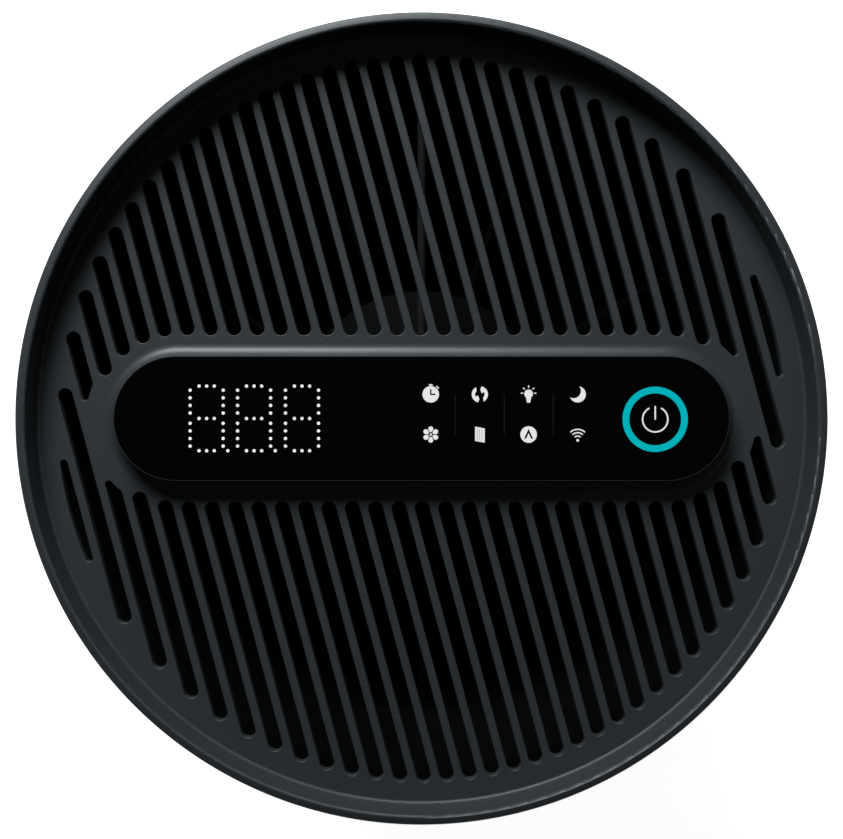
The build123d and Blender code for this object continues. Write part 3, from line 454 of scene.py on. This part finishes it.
timer = {"face": 2.5, "handWidth": 0.44, "longHand": 1.6, "shortHand": 1.45,
         "button": (0, 2.85, 1.15, 0.42), "lug": (2.05, 2.15, 0.95, 0.42, -45)}


def timerSign():
    half, up, right = timer["handWidth"] / 2, timer["longHand"], timer["shortHand"]
    hands = [(-half, up), (-half, -half), (right, -half), (right, half), (half, half), (half, up)]
    return [circle(0, 0, timer["face"]), hands, bar(*timer["button"]), bar(*timer["lug"])]


circulation = {"outer": 2.45, "inner": 1.35, "innerCentre": (0.1, 0.05),
               "head": [(0.55, 0.35), (0.15, 1.5)]}


def circulationSign():
    # two crescents that chase each other, each with an arrow head
    sweep = arc(0, 0, circulation["outer"], 78, -62, 20)
    back = arc(*circulation["innerCentre"], circulation["inner"], -48, 30, 12)
    half = sweep + back + circulation["head"]
    return [turned(half, 0), turned(half, 180)]


lamp = {"bulb": 1.3, "bulbHeight": 0.15,
        "neck": [(-0.62, -1.6), (-0.5, -2.5), (0.5, -2.5), (0.62, -1.6)],
        "rayHeight": 0.35, "rayReach": 2.0, "rayLength": 0.72, "rayWidth": 0.32}


def lampSign():
    bulb = arc(0, lamp["bulbHeight"], lamp["bulb"], -52, 232, 24) + lamp["neck"]
    rays = []
    for angle in (0, 45, 90, 135, 180):
        x = lamp["rayReach"] * math.cos(math.radians(angle))
        y = lamp["rayHeight"] + lamp["rayReach"] * math.sin(math.radians(angle))
        rays.append(bar(x, y, lamp["rayLength"], lamp["rayWidth"], angle))
    return [bulb] + rays


moon = {"disc": 2.45, "bite": 2.25, "offset": 1.65, "lean": 140}


def moonSign():
    # disc less a second disc: the outline runs between the two points where they cross
    disc, bite, offset, lean = moon["disc"], moon["bite"], moon["offset"], moon["lean"]
    toTip = math.degrees(math.acos((disc ** 2 + offset ** 2 - bite ** 2) / (2 * disc * offset)))
    biteTip = math.degrees(math.acos((bite ** 2 + offset ** 2 - disc ** 2) / (2 * bite * offset)))
    biteX, biteY = offset * math.cos(math.radians(lean)), offset * math.sin(math.radians(lean))
    outer = arc(0, 0, disc, lean - toTip, lean + toTip - 360, 36)
    inner = arc(biteX, biteY, bite, lean - 180 - biteTip, lean - 180 + biteTip, 28)
    return [outer + inner]


flower = {"petals": 6, "petalCentre": 1.72, "petalRadius": 0.74, "petalTip": 0.62,
          "petalRoot": (0.95, 0.42), "heart": 0.36}


def fanSign():
    rootX, rootY = flower["petalRoot"]
    rounded = arc(flower["petalCentre"], 0, flower["petalRadius"], 115, -115, 14)
    petal = [(flower["petalTip"], 0.0), (rootX, rootY)] + rounded + [(rootX, -rootY)]
    step = 360 / flower["petals"]
    petals = [turned(petal, step * k + 90) for k in range(flower["petals"])]
    return petals + [circle(0, 0, flower["heart"], 20)]


slab = {"teeth": 7, "tooth": 0.2, "height": 4.3, "left": -1.55, "leftTop": 2.4, "right": 1.38,
        "rightBottom": -2.45, "pleats": (-0.75, -0.05, 0.65), "pleatWidth": 0.11, "pleatLength": 3.5,
        "pleatHeight": -0.03}


def filterSign():
    # slab with a saw-toothed left and right edge
    halfTeeth = range(2 * slab["teeth"] + 1)
    drop = slab["height"] / (2 * slab["teeth"])
    left = [(slab["left"] + slab["tooth"] * (k % 2), slab["leftTop"] - k * drop) for k in halfTeeth]
    right = [(slab["right"] + slab["tooth"] * (k % 2), slab["rightBottom"] + k * drop) for k in halfTeeth]
    pleat = (slab["pleatHeight"], slab["pleatWidth"], slab["pleatLength"])
    return [left + right] + [bar(x, *pleat) for x in slab["pleats"]]


auto = {"disc": 2.5, "arrow": [(0, 1.75), (1.35, -1.25), (0.72, -1.25), (0, 0.45),
                               (-0.72, -1.25), (-1.35, -1.25)]}


def autoSign():
    return [circle(0, 0, auto["disc"]), auto["arrow"]]


wireless = {"height": -1.75, "source": 0.42, "bands": (1.3, 2.3, 3.3), "bandWidth": 0.38,
            "sweep": (48, 132)}


def wirelessSign():
    height, half = wireless["height"], wireless["bandWidth"] / 2
    bands = [ringPiece(0, height, r - half, r + half, *wireless["sweep"]) for r in wireless["bands"]]
    return [circle(0, height, wireless["source"], 20)] + bands


power = {"inner": 3.6, "outer": 4.04, "sweep": (118, 422), "barHeight": 1.95, "barWidth": 0.44,
         "barLength": 4.2}


def powerSign():
    ring = ringPiece(0, 0, power["inner"], power["outer"], *power["sweep"], 60)
    return [ring, capsule(0, power["barHeight"], power["barWidth"], power["barLength"])]


# shape of each key's sign, its column and its row
signShapes = {
    "timer_sign": (timerSign, 0, 0), "circulation_sign": (circulationSign, 1, 0),
    "lamp_sign": (lampSign, 2, 0), "night_sign": (moonSign, 3, 0),
    "fan_speed_sign": (fanSign, 0, 1), "filter_sign": (filterSign, 1, 1),
    "auto_sign": (autoSign, 2, 1), "wireless_sign": (wirelessSign, 3, 1),
}
for signName, (shape, column, row) in signShapes.items():
    drawSign(signName, shape(), (signs["columns"][column], signs["rows"][row]))
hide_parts("key_symbols")
powerMark = drawSign("power_sign", powerSign(), signs["power"])
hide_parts("power_symbol")


# coil springs under the touch keys

springs = {"radius": 2.6 * mm, "wire": 0.22 * mm, "turns": 5, "pointsPerTurn": 14}


def coilSpring(name, x, y, low, high):
    radius, wire = springs["radius"], springs["wire"]
    curve = bpy.data.curves.new(name, "CURVE")
    curve.dimensions = "3D"
    curve.bevel_depth = wire
    curve.bevel_resolution = 2
    spline = curve.splines.new("POLY")
    count = springs["turns"] * springs["pointsPerTurn"]
    spline.points.add(count)
    for i in range(count + 1):
        a = math.tau * i / springs["pointsPerTurn"]
        height = low + wire + (high - low - 2 * wire) * i / count
        spline.points[i].co = (x + radius * math.cos(a), y + radius * math.sin(a), height, 1)
    curve.materials.append(finishes["zincSteel"])
    spring = bpy.data.objects.new(name, curve)
    bpy.context.scene.collection.objects.link(spring)
    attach(spring, bodyOf["touch_springs"])
    return spring


springLow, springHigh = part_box("touch_springs")
springPlaces = [(x, y) for x in signs["columns"] for y in signs["rows"]] + [signs["power"]]
coils = [coilSpring(f"touch_spring_{i + 1}", x, y, springLow.z, springHigh.z)
         for i, (x, y) in enumerate(springPlaces)]
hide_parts("touch_springs")
print("springs wound:", len(coils))


# floor, lights and camera

studio = {"floorSize": 60.0, "floorColour": (0.9, 0.9, 0.9), "floorRoughness": 0.9, "floorShine": 0.1,
          "floorGlow": 0.95, "skySeen": 0.95, "skyOnObject": 0.013}

bpy.ops.mesh.primitive_plane_add(size=studio["floorSize"], location=(0, 0, 0))
floor = bpy.context.object
floor.name = "studio_floor"
floorMaterial, floorTree, floorShader = newMaterial("paleFloor")
floorShader.inputs["Base Color"].default_value = (*studio["floorColour"], 1)
floorShader.inputs["Roughness"].default_value = studio["floorRoughness"]
floorShader.inputs["Specular IOR Level"].default_value = studio["floorShine"]
floorShader.inputs["Emission Color"].default_value = (1, 1, 1, 1)
floorShader.inputs["Emission Strength"].default_value = studio["floorGlow"]
floor.data.materials.append(floorMaterial)

# place of each soft light, its width and height, its power, and the point that it faces
softboxes = {
    "key_light": ((-0.22, 0.66, 0.87), (0.42, 0.36), 7.6, (0, 0, 0.37)),
    "low_light": ((-0.05, 0.44, 0.435), (0.3, 0.11), 0.5, (0, 0, 0.375)),
    "top_light": ((0.75, 0.1, 1.6), (0.4, 0.6), 0.45, (0, 0, 0.37)),
}
lightTint = (0.95, 1.0, 1.02)


def softbox(name, location, size, power, target):
    light = bpy.data.lights.new(name, "AREA")
    light.shape = "RECTANGLE"
    light.size, light.size_y = size
    light.energy = power
    light.color = lightTint
    box = bpy.data.objects.new(name, light)
    box.location = location
    box.rotation_euler = (Vector(target) - Vector(location)).to_track_quat("-Z", "Y").to_euler()
    box.visible_camera = False
    bpy.context.scene.collection.objects.link(box)


for lightName, placing in softboxes.items():
    softbox(lightName, *placing)

# the air looks bright, but gives the object only a little light
world = bpy.data.worlds.new("studioAir")
bpy.context.scene.world = world
world.use_nodes = True
air = world.node_tree
seen = air.nodes.new("ShaderNodeLightPath")
strength = air.nodes.new("ShaderNodeMapRange")
strength.inputs["To Min"].default_value = studio["skyOnObject"]
strength.inputs["To Max"].default_value = studio["skySeen"]
air.links.new(seen.outputs["Is Camera Ray"], strength.inputs["Value"])
air.nodes["Background"].inputs["Color"].default_value = (1, 1, 1, 1)
air.links.new(strength.outputs["Result"], air.nodes["Background"].inputs["Strength"])

cameraSet = {"height": 0.78, "lens": 57.18, "sensor": 36.0, "shiftY": -0.0012, "nearest": 0.05}
lens = bpy.data.cameras.new("studio_camera")
lens.lens = cameraSet["lens"]
lens.sensor_width = cameraSet["sensor"]
lens.shift_y = cameraSet["shiftY"]
lens.clip_start = cameraSet["nearest"]
studioCamera = bpy.data.objects.new("studio_camera", lens)
studioCamera.location = (0, 0, cameraSet["height"])
bpy.context.scene.collection.objects.link(studioCamera)
bpy.context.scene.camera = studioCamera
bpy.context.scene.view_settings.view_transform = "Standard"
print("studio ready")
